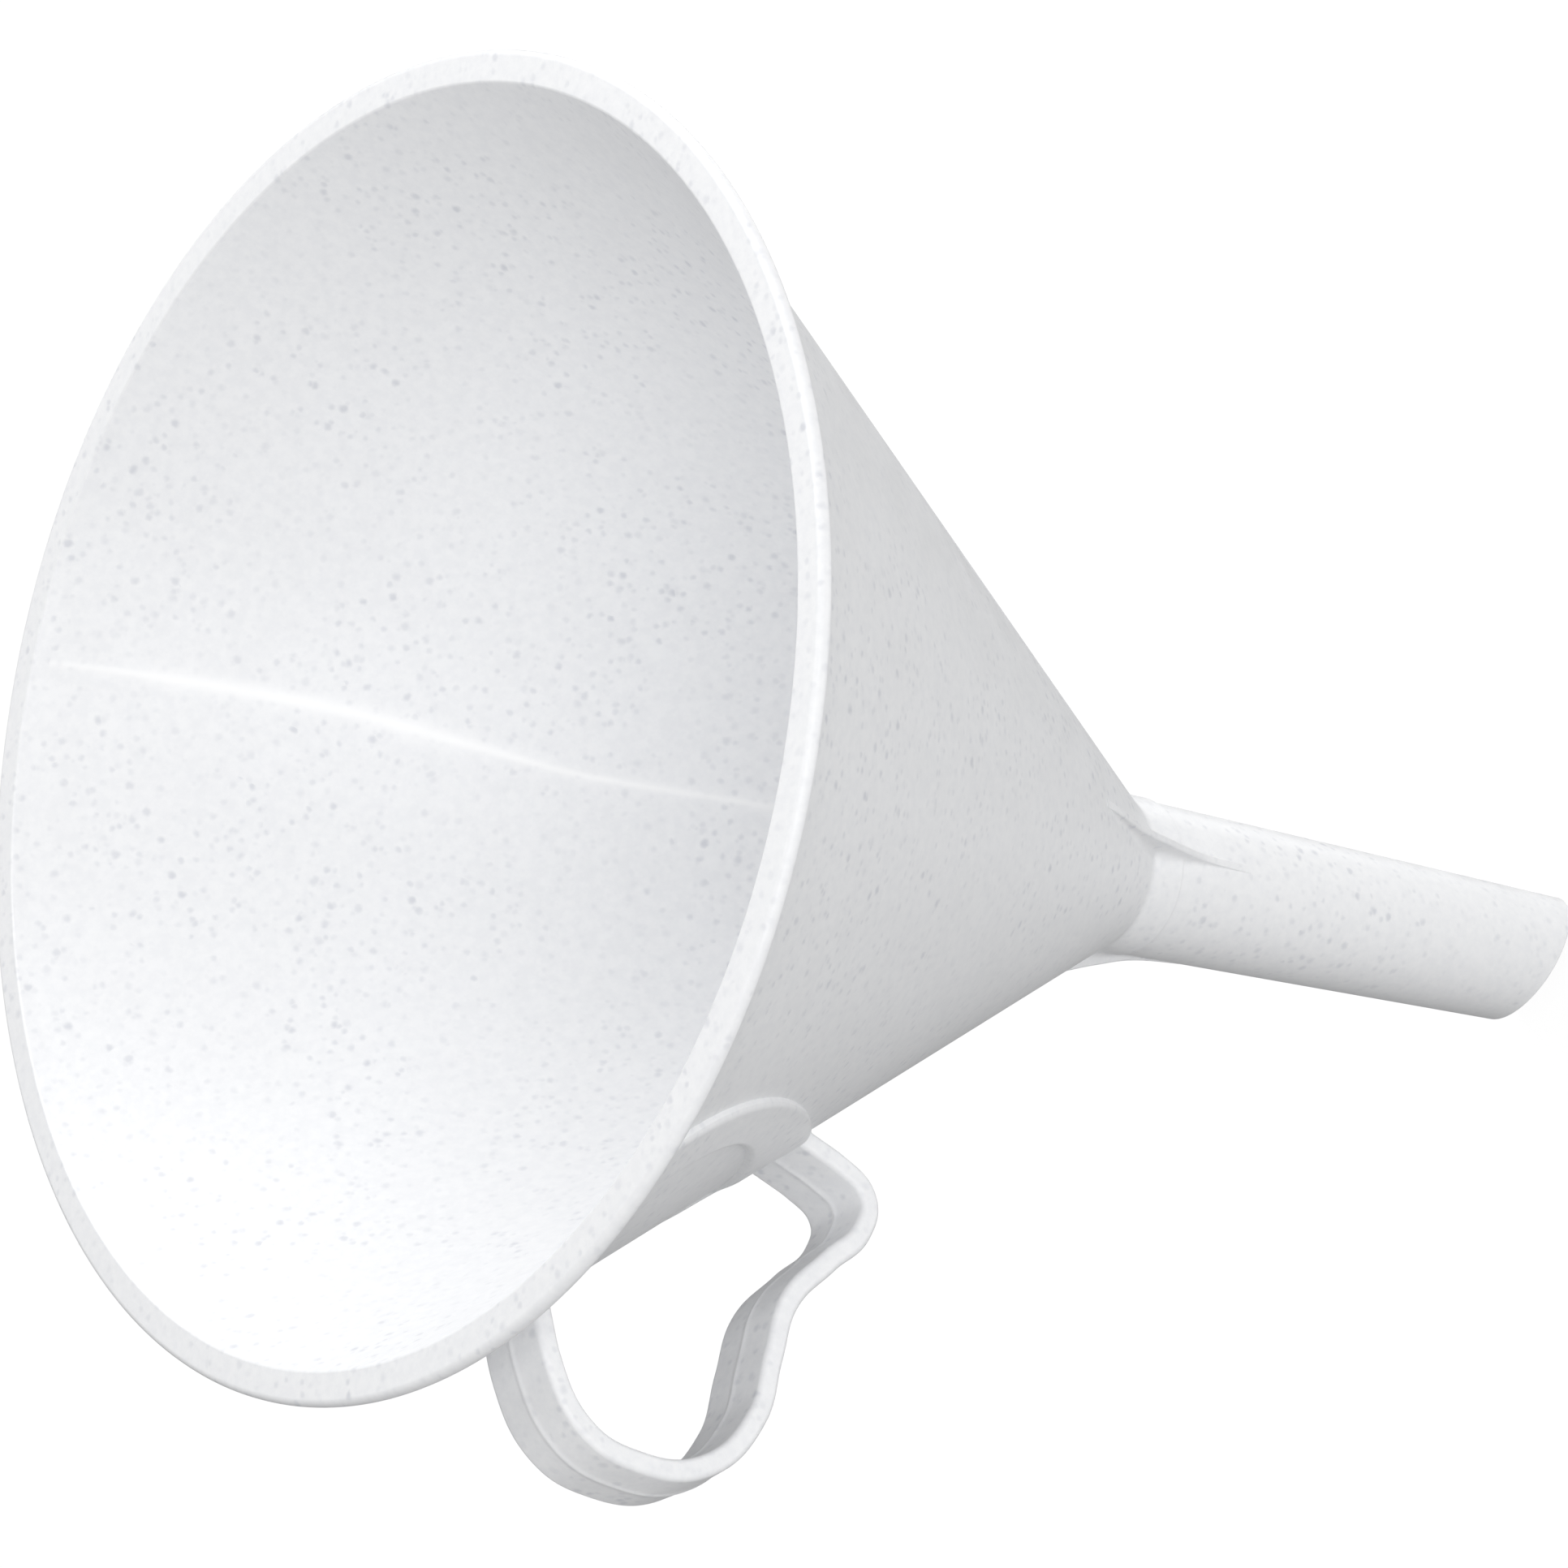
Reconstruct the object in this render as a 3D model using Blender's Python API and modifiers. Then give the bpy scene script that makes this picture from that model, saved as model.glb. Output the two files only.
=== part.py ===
"""Laboratory funnel with a finger loop: a 60 degree bowl, a tapered stem and a ribbon handle.

Metres, +Z up, mouth upwards. The origin is on the funnel's axis at the neck, where the bowl
meets the stem. The handle lies in the XZ plane, on the +X side.
"""

import math

import bmesh
import bpy
from mathutils import Matrix

# ---------------------------------------------------------------- driving dimensions

GAP = 0.0003                 # clearance between pieces that touch
MOUTH_RADIUS = 0.1000        # outside of the lip
BOWL_HEIGHT = 0.1447         # neck to the middle of the lip
BOWL_SLOPE = 0.5812          # growth of the bowl's outer radius per metre of height
NECK_RADIUS = 0.0127         # outside of the bowl at the neck
WALL_AT_MOUTH = 0.0027       # horizontal wall of the bowl
WALL_AT_NECK = 0.0019

LIP_TOP = BOWL_HEIGHT + 0.0014
LIP_THICKNESS = 0.0024
LIP_ROUNDING = 0.0011

COLLAR_RADIUS = 0.0130
COLLAR_HEIGHT = 0.0063
COLLAR_CHAMFER = 0.0006

STEM_TIP_RADIUS = 0.0114
STEM_TIP_BORE = 0.0098
STEM_LENGTH = 0.1011         # neck to the tip, measured on the axis
TIP_BEVEL = math.radians(30.0)
TIP_LONG_SIDE = math.radians(190.0)
TIP_ALLOWANCE = 0.0150       # extra tube below the tip, which the bevel cuts off
TIP_CUTTER_SIZE = 0.0800

VANE_THICKNESS = 0.0013
VANE_ANGLES = [math.radians(-36.0 + 120.0 * turn) for turn in range(3)]
VANE_ROOT = 0.0090           # inner edge of a vane's outline, before the body is cut from it
VANE_CLEARANCE_END = -0.0500 # how far down the stem the body's cutter reaches

HANDLE_WIDTH = 0.0128
HANDLE_THICKNESS = 0.0042
HANDLE_EDGE_THICKNESS = 0.0036
HANDLE_CHAMFER = 0.0008

SADDLE_THICKNESS = 0.0012
SADDLE_OUTER = (0.0475, 0.0697, 1.88)   # half width at the lip, length, roundness
SADDLE_INNER = (0.0388, 0.0514, 2.77)
SADDLE_TOP_GAP = 0.0016                 # below the middle of the lip
SADDLE_END_ROUNDING = 0.85              # below 1, so that the arch ends in a round tip
SADDLE_MARGIN = 0.0040                  # turned blank below the arch, which the stencil cuts off
SADDLE_STENCIL_DISTANCE = 0.0700        # from the axis to the middle of the stencil
SADDLE_STENCIL_DEPTH = 0.1000
ROOT_MARGIN = 0.0020                    # the handle's clearance starts this far above the pad

ROUND_STEPS = 96
SMALL_ROUND_STEPS = 48
LIP_EDGE_STEPS = 6
SADDLE_SIDE_STEPS = 12
HANDLE_STEPS = 6                        # along each stretch between two points of its line

# Points of the handle's middle line: distance from the axis, and depth below the lip's middle.
HANDLE_LINE = [
    (0.0850, 0.0127), (0.0984, 0.0130), (0.1081, 0.0176), (0.1122, 0.0262), (0.1118, 0.0387),
    (0.1033, 0.0499), (0.0937, 0.0546), (0.0849, 0.0591), (0.0776, 0.0681), (0.0719, 0.0757),
    (0.0664, 0.0777), (0.0618, 0.0731), (0.0589, 0.0654), (0.0573, 0.0590),
]

# Points of a vane's outer edge: distance from the axis, and height above the neck.
VANE_EDGE = [
    (0.0261, 0.0230), (0.0234, 0.0165), (0.0206, 0.0110), (0.0185, 0.0058), (0.0172, 0.0015),
    (0.0159, -0.0025), (0.0150, -0.0056), (0.0141, -0.0087), (0.0134, -0.0120), (0.0129, -0.0160),
    (0.0125, -0.0220),
]

PLASTIC = (0.86, 0.87, 0.88, 1.0)
SMOOTH_BELOW = math.radians(35.0)       # edges that turn less than this are shaded smooth
WELD = 0.00001


# ---------------------------------------------------------------- shared shapes

def bowl_outside(height):
    """Outer radius of the bowl at a height above the neck."""
    return NECK_RADIUS + BOWL_SLOPE * height


def bowl_inside(height):
    """Inner radius of the bowl at a height above the neck."""
    share = height / LIP_TOP
    wall = WALL_AT_NECK + (WALL_AT_MOUTH - WALL_AT_NECK) * share
    return bowl_outside(height) - wall


def stem_share(height):
    """How far down the stem a height is: 0 at the neck, 1 at the tip."""
    return -height / STEM_LENGTH


def stem_outside(height):
    """Outer radius of the tapered stem."""
    return NECK_RADIUS + (STEM_TIP_RADIUS - NECK_RADIUS) * stem_share(height)


def stem_bore(height):
    """Radius of the stem's bore, which carries on from the bowl's throat."""
    throat = bowl_inside(0.0)
    return throat + (STEM_TIP_BORE - throat) * stem_share(height)


# ---------------------------------------------------------------- scene helpers

def clear_scene():
    for old in list(bpy.data.objects):
        bpy.data.objects.remove(old, do_unlink=True)


def new_collection(name):
    collection = bpy.data.collections.new(name)
    bpy.context.scene.collection.children.link(collection)
    return collection


def plastic(name, roughness):
    """White injection-moulded polyolefin."""
    material = bpy.data.materials.new(name)
    material.use_nodes = True
    shader = material.node_tree.nodes["Principled BSDF"]
    shader.inputs["Base Color"].default_value = PLASTIC
    shader.inputs["Roughness"].default_value = roughness
    shader.inputs["Metallic"].default_value = 0.0
    return material


def add_object(name, data, collection, material=None):
    thing = bpy.data.objects.new(name, data)
    collection.objects.link(thing)
    if material is not None:
        data.materials.append(material)
    return thing


def hide_guide(thing):
    thing.hide_render = True
    thing.display_type = 'WIRE'


def turned(name, section, steps, collection, material=None):
    """Turn a closed section, a list of (radius, height), about the Z axis."""
    mesh = bpy.data.meshes.new(name)
    shape = bmesh.new()
    corners = [shape.verts.new((radius, 0.0, height)) for radius, height in section]
    for index, corner in enumerate(corners):
        shape.edges.new((corner, corners[(index + 1) % len(corners)]))
    shape.to_mesh(mesh)
    shape.free()
    thing = add_object(name, mesh, collection, material)
    screw = thing.modifiers.new("turn", 'SCREW')
    screw.axis = 'Z'
    screw.steps = steps
    screw.render_steps = steps
    screw.use_merge_vertices = True
    screw.merge_threshold = WELD
    return thing


def flat_outline(name, points, thickness, collection):
    """A 2D curve outline in its own XY plane, with a thickness along its own Z."""
    curve = bpy.data.curves.new(name, 'CURVE')
    curve.dimensions = '2D'
    curve.fill_mode = 'BOTH'
    curve.extrude = thickness / 2.0
    spline = curve.splines.new('POLY')
    spline.points.add(len(points) - 1)
    for point, (across, up) in zip(spline.points, points):
        point.co = (across, up, 0.0, 1.0)
    spline.use_cyclic_u = True
    return add_object(name, curve, collection)


def curve_to_mesh(thing, collection, material=None):
    """Replace a curve object by a closed mesh object of the same name and place."""
    name = thing.name
    bpy.context.view_layer.update()
    graph = bpy.context.evaluated_depsgraph_get()
    mesh = bpy.data.meshes.new_from_object(thing.evaluated_get(graph))
    shape = bmesh.new()
    shape.from_mesh(mesh)
    bmesh.ops.remove_doubles(shape, verts=shape.verts, dist=WELD)
    bmesh.ops.recalc_face_normals(shape, faces=shape.faces)
    shape.to_mesh(mesh)
    shape.free()
    place = thing.matrix_world.copy()
    bpy.data.objects.remove(thing, do_unlink=True)
    mesh.name = name
    mesh.materials.clear()
    solid = add_object(name, mesh, collection, material)
    solid.matrix_world = place
    return solid


def boolean(thing, cutter, operation):
    cut = thing.modifiers.new("cut by " + cutter.name, 'BOOLEAN')
    cut.operation = operation
    cut.solver = 'EXACT'
    cut.object = cutter


def smooth(thing):
    if thing.type == 'MESH':
        thing.data.shade_smooth()
        thing.data.set_sharp_from_angle(angle=SMOOTH_BELOW)


# Turns an outline drawn in XY so that its X points outwards and its Y points up.
UPRIGHT = Matrix.Rotation(math.radians(90.0), 4, 'X')


# ---------------------------------------------------------------- pieces

def make_mouth_rim(parts):
    """Flat lip with a rounded outer edge, which also closes the top of the bowl's wall."""
    bottom = LIP_TOP - LIP_THICKNESS
    middle = (LIP_TOP + bottom) / 2.0
    centre_radius = MOUTH_RADIUS - LIP_ROUNDING
    section = [(bowl_inside(LIP_TOP), LIP_TOP)]
    for step in range(LIP_EDGE_STEPS + 1):
        turn = math.radians(90.0 - 180.0 * step / LIP_EDGE_STEPS)
        height = middle + (LIP_THICKNESS / 2.0) * math.sin(turn)
        section.append((centre_radius + LIP_ROUNDING * math.cos(turn), height))
    section.append((bowl_inside(bottom), bottom))
    return turned("mouth_rim", section, ROUND_STEPS, parts, plastic("rim_plastic", 0.38))


def make_bowl(parts):
    """The conical wall, open at the mouth and at the neck."""
    top = LIP_TOP - LIP_THICKNESS - GAP
    bottom = GAP
    section = [
        (bowl_outside(top), top),
        (bowl_outside(bottom), bottom),
        (bowl_inside(bottom), bottom),
        (bowl_inside(top), top),
    ]
    return turned("cone_bowl", section, ROUND_STEPS, parts, plastic("bowl_plastic", 0.42))


def make_neck_collar(parts):
    """Short band around the neck, a little proud of the stem."""
    section = [
        (NECK_RADIUS, 0.0),
        (COLLAR_RADIUS, -COLLAR_CHAMFER),
        (COLLAR_RADIUS, -COLLAR_HEIGHT + COLLAR_CHAMFER),
        (stem_outside(-COLLAR_HEIGHT), -COLLAR_HEIGHT),
        (stem_bore(-COLLAR_HEIGHT), -COLLAR_HEIGHT),
        (stem_bore(0.0), 0.0),
    ]
    return turned("neck_collar", section, SMALL_ROUND_STEPS, parts, plastic("collar_plastic", 0.36))


def make_stem(parts, guides):
    """Tapered tube with a bevelled tip, longest on the side away from the handle."""
    top = -COLLAR_HEIGHT - GAP
    bottom = -STEM_LENGTH - TIP_ALLOWANCE
    section = [
        (stem_outside(top), top),
        (stem_outside(bottom), bottom),
        (stem_bore(bottom), bottom),
        (stem_bore(top), top),
    ]
    stem = turned("stem", section, SMALL_ROUND_STEPS, parts, plastic("stem_plastic", 0.38))
    bpy.ops.mesh.primitive_cube_add(size=TIP_CUTTER_SIZE)
    cutter = bpy.context.object
    cutter.name = "tip_cutter"
    for owner in list(cutter.users_collection):
        owner.objects.unlink(cutter)
    guides.objects.link(cutter)
    hide_guide(cutter)
    tilt = Matrix.Rotation(TIP_LONG_SIDE, 4, 'Z') @ Matrix.Rotation(TIP_BEVEL, 4, 'Y')
    down = Matrix.Translation((0.0, 0.0, -TIP_CUTTER_SIZE / 2.0))
    cutter.matrix_world = Matrix.Translation((0.0, 0.0, -STEM_LENGTH)) @ tilt @ down
    boolean(stem, cutter, 'DIFFERENCE')
    return stem


def make_body_cutter(guides):
    """The outside of the bowl, collar and stem with the clearance added."""
    margin = GAP / math.cos(math.atan(BOWL_SLOPE))
    section = [
        (bowl_outside(LIP_TOP) + margin, LIP_TOP),
        (COLLAR_RADIUS + GAP, (COLLAR_RADIUS + GAP - NECK_RADIUS - margin) / BOWL_SLOPE),
        (COLLAR_RADIUS + GAP, -COLLAR_HEIGHT - GAP),
        (stem_outside(-COLLAR_HEIGHT) + GAP, -COLLAR_HEIGHT - 2.0 * GAP),
        (stem_outside(VANE_CLEARANCE_END) + GAP, VANE_CLEARANCE_END),
        (0.0, VANE_CLEARANCE_END),
        (0.0, LIP_TOP),
    ]
    cutter = turned("body_cutter", section, ROUND_STEPS, guides)
    hide_guide(cutter)
    return cutter


def make_vane(index, angle, parts, cutter):
    """Thin web that stiffens the neck and lets air out past a bottle's mouth."""
    outline = list(VANE_EDGE)
    outline.append((VANE_ROOT, VANE_EDGE[-1][1]))
    outline.append((VANE_ROOT, VANE_EDGE[0][1]))
    name = "neck_vane_" + str(index)
    vane = flat_outline(name, outline, VANE_THICKNESS, parts)
    vane.matrix_world = Matrix.Rotation(angle, 4, 'Z') @ UPRIGHT
    vane = curve_to_mesh(vane, parts, plastic("vane_plastic_" + str(index), 0.38))
    boolean(vane, cutter, 'DIFFERENCE')
    return vane


def make_handle_section(guides):
    """The ribbon's cross section: thickest along its middle, with a slight draft to its edges."""
    half_width = HANDLE_WIDTH / 2.0
    half_middle = HANDLE_THICKNESS / 2.0
    half_edge = HANDLE_EDGE_THICKNESS / 2.0
    side = [
        (half_middle, 0.0),
        (half_edge, half_width - HANDLE_CHAMFER),
        (half_edge - HANDLE_CHAMFER, half_width),
        (HANDLE_CHAMFER - half_edge, half_width),
        (-half_edge, half_width - HANDLE_CHAMFER),
        (-half_middle, 0.0),
    ]
    points = side + [(across, -along) for across, along in reversed(side[1:-1])]
    curve = bpy.data.curves.new("handle_section", 'CURVE')
    curve.dimensions = '2D'
    spline = curve.splines.new('POLY')
    spline.points.add(len(points) - 1)
    for point, (across, along) in zip(spline.points, points):
        point.co = (across, along, 0.0, 1.0)
    spline.use_cyclic_u = True
    section = add_object("handle_section", curve, guides)
    hide_guide(section)
    return section


def make_handle(parts, guides, cutter):
    """Ribbon bent into a waved finger loop that starts and ends on the bowl."""
    curve = bpy.data.curves.new("handle_band", 'CURVE')
    curve.dimensions = '3D'
    curve.twist_mode = 'Z_UP'
    curve.resolution_u = HANDLE_STEPS
    curve.fill_mode = 'FULL'
    curve.bevel_mode = 'OBJECT'
    curve.bevel_object = make_handle_section(guides)
    curve.use_fill_caps = True
    spline = curve.splines.new('BEZIER')
    spline.bezier_points.add(len(HANDLE_LINE) - 1)
    for knot, (distance, depth) in zip(spline.bezier_points, HANDLE_LINE):
        knot.co = (distance, BOWL_HEIGHT - depth, 0.0)
        knot.handle_left_type = 'AUTO'
        knot.handle_right_type = 'AUTO'
    band = add_object("handle_band", curve, parts)
    band.matrix_world = UPRIGHT
    band = curve_to_mesh(band, parts, plastic("handle_plastic", 0.40))
    boolean(band, cutter, 'DIFFERENCE')
    return band


def saddle_side(shape):
    """One side of an arch, from the lip to its closed end, as (half width, depth)."""
    half_width, length, roundness = shape
    points = []
    for step in range(SADDLE_SIDE_STEPS + 1):
        depth = length * math.sin(math.radians(90.0) * step / SADDLE_SIDE_STEPS)
        depth = max(depth, SADDLE_TOP_GAP)
        share = 1.0 - (depth / length) ** roundness
        points.append((half_width * share ** SADDLE_END_ROUNDING, depth))
    return points


def make_saddle(parts, guides):
    """Raised horseshoe pad on the bowl, around the lower root of the handle."""
    outer = saddle_side(SADDLE_OUTER)
    inner = saddle_side(SADDLE_INNER)
    outline = [(half, BOWL_HEIGHT - depth) for half, depth in outer]
    outline += [(-half, BOWL_HEIGHT - depth) for half, depth in reversed(outer[:-1])]
    outline += [(-half, BOWL_HEIGHT - depth) for half, depth in inner]
    outline += [(half, BOWL_HEIGHT - depth) for half, depth in reversed(inner[:-1])]
    stencil = flat_outline("saddle_stencil", outline, SADDLE_STENCIL_DEPTH, guides)
    face_outwards = Matrix.Rotation(math.radians(90.0), 4, 'Z')
    place = Matrix.Translation((SADDLE_STENCIL_DISTANCE, 0.0, 0.0))
    stencil.matrix_world = place @ face_outwards @ UPRIGHT
    stencil = curve_to_mesh(stencil, guides)
    hide_guide(stencil)

    lean = math.cos(math.atan(BOWL_SLOPE))
    near = GAP / lean
    far = (GAP + SADDLE_THICKNESS) / lean
    top = BOWL_HEIGHT
    bottom = BOWL_HEIGHT - SADDLE_OUTER[1] - SADDLE_MARGIN
    section = [
        (bowl_outside(top) + far, top),
        (bowl_outside(bottom) + far, bottom),
        (bowl_outside(bottom) + near, bottom),
        (bowl_outside(top) + near, top),
    ]
    saddle = turned("handle_saddle", section, ROUND_STEPS, parts, plastic("saddle_plastic", 0.40))
    boolean(saddle, stencil, 'INTERSECT')
    return saddle


def make_saddle_cutter(guides):
    """The space of the saddle with clearance, which the handle's lower root stands on."""
    lean = math.cos(math.atan(BOWL_SLOPE))
    far = (2.0 * GAP + SADDLE_THICKNESS) / lean
    top = BOWL_HEIGHT - SADDLE_INNER[1] + ROOT_MARGIN
    bottom = BOWL_HEIGHT - SADDLE_OUTER[1] - SADDLE_MARGIN
    section = [
        (bowl_outside(top) + far, top),
        (bowl_outside(bottom) + far, bottom),
        (0.0, bottom),
        (0.0, top),
    ]
    cutter = turned("saddle_cutter", section, ROUND_STEPS, guides)
    hide_guide(cutter)
    return cutter


def main():
    clear_scene()
    parts = new_collection("funnel_with_handle")
    guides = new_collection("cutters")
    body_cutter = make_body_cutter(guides)
    pieces = [
        make_bowl(parts),
        make_mouth_rim(parts),
        make_neck_collar(parts),
        make_stem(parts, guides),
        make_saddle(parts, guides),
    ]
    for index, angle in enumerate(VANE_ANGLES, start=1):
        pieces.append(make_vane(index, angle, parts, body_cutter))
    handle = make_handle(parts, guides, body_cutter)
    boolean(handle, make_saddle_cutter(guides), 'DIFFERENCE')
    pieces.append(handle)
    for piece in pieces:
        smooth(piece)


main()
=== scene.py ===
"""Looks of the finger-loop funnel: fine meshes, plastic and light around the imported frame."""

import math

import bmesh
import bpy
from mathutils import Matrix, Vector


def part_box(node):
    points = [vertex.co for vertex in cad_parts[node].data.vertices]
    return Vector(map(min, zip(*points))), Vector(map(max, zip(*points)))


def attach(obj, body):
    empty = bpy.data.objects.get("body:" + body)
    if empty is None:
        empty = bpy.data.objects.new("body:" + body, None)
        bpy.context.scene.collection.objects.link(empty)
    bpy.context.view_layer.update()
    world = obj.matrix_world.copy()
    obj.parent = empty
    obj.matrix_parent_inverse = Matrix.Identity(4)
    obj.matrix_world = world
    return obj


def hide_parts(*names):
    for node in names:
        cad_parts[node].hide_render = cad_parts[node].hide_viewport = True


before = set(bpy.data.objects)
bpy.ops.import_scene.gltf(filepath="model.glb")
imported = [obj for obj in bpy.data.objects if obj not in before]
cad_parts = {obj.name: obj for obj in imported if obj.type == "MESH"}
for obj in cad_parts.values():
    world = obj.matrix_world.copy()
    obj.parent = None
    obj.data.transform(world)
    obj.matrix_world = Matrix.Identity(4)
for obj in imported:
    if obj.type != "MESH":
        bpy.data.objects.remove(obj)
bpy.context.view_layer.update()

BODY = "root"

# ---------------------------------------------------------------- dimensions, in metres
# The part's frame: origin on the axis at the neck, +Z to the mouth, the handle on the +X side.

RIM_LOW, RIM_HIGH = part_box("mouth_rim")
COLLAR_LOW, COLLAR_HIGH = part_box("neck_collar")
FLOOR_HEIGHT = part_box("stem")[0].z

MOUTH_RADIUS = RIM_HIGH.x
LIP_TOP = RIM_HIGH.z
LIP_BOTTOM = RIM_LOW.z
LIP_MIDDLE = 0.1447
LIP_OUTER_ROUND = 0.00112
LIP_INNER_ROUND = 0.0006
LIP_FILLET = 0.0012          # under the lip, where it meets the bowl
LIP_SKIRT = 0.0030           # how far the lip's root reaches down inside the bowl's wall

NECK_RADIUS = 0.0127
BOWL_SLOPE = 0.5812
BOWL_LEAN = math.atan(BOWL_SLOPE)
WALL_AT_MOUTH = 0.0027
WALL_AT_NECK = 0.0019
BOWL_FOOT = -0.0004          # the bowl's foot stands on the stem's top, inside the collar
NECK_FILLET = 0.0030
THROAT_SOFTNESS = 0.0010     # how gently the cone turns into the bore

COLLAR_RADIUS = COLLAR_HIGH.x
COLLAR_BOTTOM = COLLAR_LOW.z
COLLAR_TOP = -0.0002
COLLAR_ROUND = 0.0003
HIDDEN = 0.0006              # how deep a joint between two pieces lies inside the wall

STEM_TIP_RADIUS = 0.0114
STEM_TIP_BORE = 0.0098
STEM_LENGTH = 0.1011
TIP_BEVEL = math.radians(30.0)
TIP_LONG_SIDE = math.radians(190.0)
TIP_ROUND = 0.00035

VANE_THICKNESS = 0.0013
VANE_ANGLES = [math.radians(-36.0 + 120.0 * turn) for turn in range(3)]
VANE_FILLET = 0.0015
VANE_FILLET_SHARE = 0.55     # most of the web's rise that its fillets may take
VANE_FOOT_SHARE = 1.05       # the web's foot is this many fillets wider than the web, each side
VANE_ROUND = 0.0004
VANE_ROUND_SHARE = 0.35      # most of its rise that its free edge's rounding may take
VANE_LEAST_RISE = 0.0001
VANE_EDGE = [
    (0.0261, 0.0230), (0.0234, 0.0165), (0.0206, 0.0110), (0.0185, 0.0058), (0.0172, 0.0015),
    (0.0159, -0.0025), (0.0150, -0.0056), (0.0141, -0.0087), (0.0134, -0.0120), (0.0129, -0.0160),
    (0.0125, -0.0220),
]

HANDLE_WIDTH = 0.0128
HANDLE_THICKNESS = 0.0042
HANDLE_EDGE_THICKNESS = 0.0036
HANDLE_ROUND = 0.0009
HANDLE_RIDGE = 0.00015       # parting ridge along the middle of both faces
HANDLE_RIDGE_WIDTH = 0.00045
HANDLE_FACE = (0.00025, 0.0005, 0.0008, 0.0012, 0.0020, 0.0034, 0.0049)   # points on half a face
HANDLE_FILLET = 0.0018       # at the handle's upper root
HANDLE_LOW_FILLET = 0.0009   # at its lower root, beside its pad
HANDLE_FILLET_SHARE = 0.9    # most of the way down to the wall that a fillet may take
HANDLE_ROOT_LENGTH = 0.0030
LANDING_REACH = 0.03         # how far along the ribbon the wall is looked for
HANDLE_LINE = [
    (0.0850, 0.0127), (0.0984, 0.0130), (0.1081, 0.0176), (0.1122, 0.0262), (0.1118, 0.0387),
    (0.1033, 0.0499), (0.0937, 0.0546), (0.0849, 0.0591), (0.0776, 0.0681), (0.0719, 0.0757),
    (0.0664, 0.0777), (0.0618, 0.0731), (0.0589, 0.0654), (0.0573, 0.0590),
]

SADDLE_THICKNESS = 0.0012
SADDLE_OUTER = (0.0475, 0.0697, 1.88)   # half width at the lip, length, roundness
SADDLE_INNER = (0.0388, 0.0514, 2.77)
SADDLE_TOP = 0.0008                     # below the middle of the lip, inside the lip's fillet
SADDLE_END_ROUNDING = 0.85
SADDLE_ROUND = 0.0011                   # rounding along the pad's edges
SADDLE_FADE_WIDTH = 0.0120              # the pad's inner edge is faded this far from its middle
SADDLE_FADED = 0.00045                  # height left there

# The raised witness line inside the bowl, painted whiter as a highlight, each by depth below the
# lip's top: azimuth, width, strength.
WITNESS_LINE = [
    (0.000, -118.7), (0.020, -119.7), (0.043, -120.2),
    (0.060, -119.2), (0.079, -117.6), (0.103, -118.5),
]
WITNESS_WIDTHS = [(0.010, 0.00055), (0.022, 0.00105), (0.050, 0.00105), (0.076, 0.00055)]
WITNESS_STRENGTHS = [(0.004, 0.55), (0.020, 1.0), (0.060, 1.0), (0.100, 0.85)]
WITNESS_HEIGHT = 0.00016
# The painted highlight's soft painted glow: its width against the line's, and its share.
HIGHLIGHT_GLOW_SPREAD = 3.0                      # the pale halo is this much wider than the line
HIGHLIGHT_GLOW_SHARE = 0.25
WITNESS_BAND = 0.0035                   # half width of the finely divided band around it
WITNESS_WIDEST = 0.3                    # half the band takes no larger an angle, in radians

# How finely the pieces are divided.
BOWL_COLUMNS = 240
BOWL_ROWS = 72
BOWL_ROWS_POWER = 1.5        # above 1, the inner rows lie closer together near the throat
WITNESS_COLUMNS = 20
RING_COLUMNS = 288
STEM_COLUMNS = 144
STEM_ROWS = 30
VANE_STEPS = 8
HANDLE_STEPS = 14
ROOT_STEPS = 8
LANDING_STEPS = 40
PAD_STEPS_ALONG = 144
PAD_STEPS_ACROSS = 40
PAD_STEPS_UNDER = 8
ARC_STEPS = 6
SHARP_ABOVE = math.radians(25.0)
SHADING_WEIGHT = 80          # how much more a large face counts in the shading of its corners


def bowl_outside(height):
    return NECK_RADIUS + BOWL_SLOPE * height


def bowl_inside(height):
    wall = WALL_AT_NECK + (WALL_AT_MOUTH - WALL_AT_NECK) * height / LIP_TOP
    return bowl_outside(height) - wall


def stem_outside(height):
    return NECK_RADIUS + (NECK_RADIUS - STEM_TIP_RADIUS) * height / STEM_LENGTH


def stem_bore(height):
    throat = NECK_RADIUS - WALL_AT_NECK
    return throat + (throat - STEM_TIP_BORE) * height / STEM_LENGTH


def inner_radius(height):
    """Inside of bowl and stem as one line, with a soft turn at the throat."""
    cone, bore = bowl_inside(height), stem_bore(height)
    return (cone + bore + math.hypot(cone - bore, THROAT_SOFTNESS)) / 2.0


def body_radius(height):
    """Outside of bowl, collar and stem."""
    if height < COLLAR_BOTTOM:
        return stem_outside(height)
    return max(COLLAR_RADIUS, bowl_outside(height))


# ---------------------------------------------------------------- mesh helpers

def even(start, end, steps):
    """Evenly spaced values from start to end, both included."""
    return [start + (end - start) * step / steps for step in range(steps + 1)]


def eased(share):
    """Smooth step from 0 to 1."""
    return share * share * (3.0 - 2.0 * share)


def interpolate(knots, value):
    """Value of a table of (place, number) pairs, eased from each pair to the next."""
    if value <= knots[0][0]:
        return knots[0][1]
    for (low, first), (high, second) in zip(knots, knots[1:]):
        if value <= high:
            return first + (second - first) * eased((value - low) / (high - low))
    return knots[-1][1]


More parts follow.
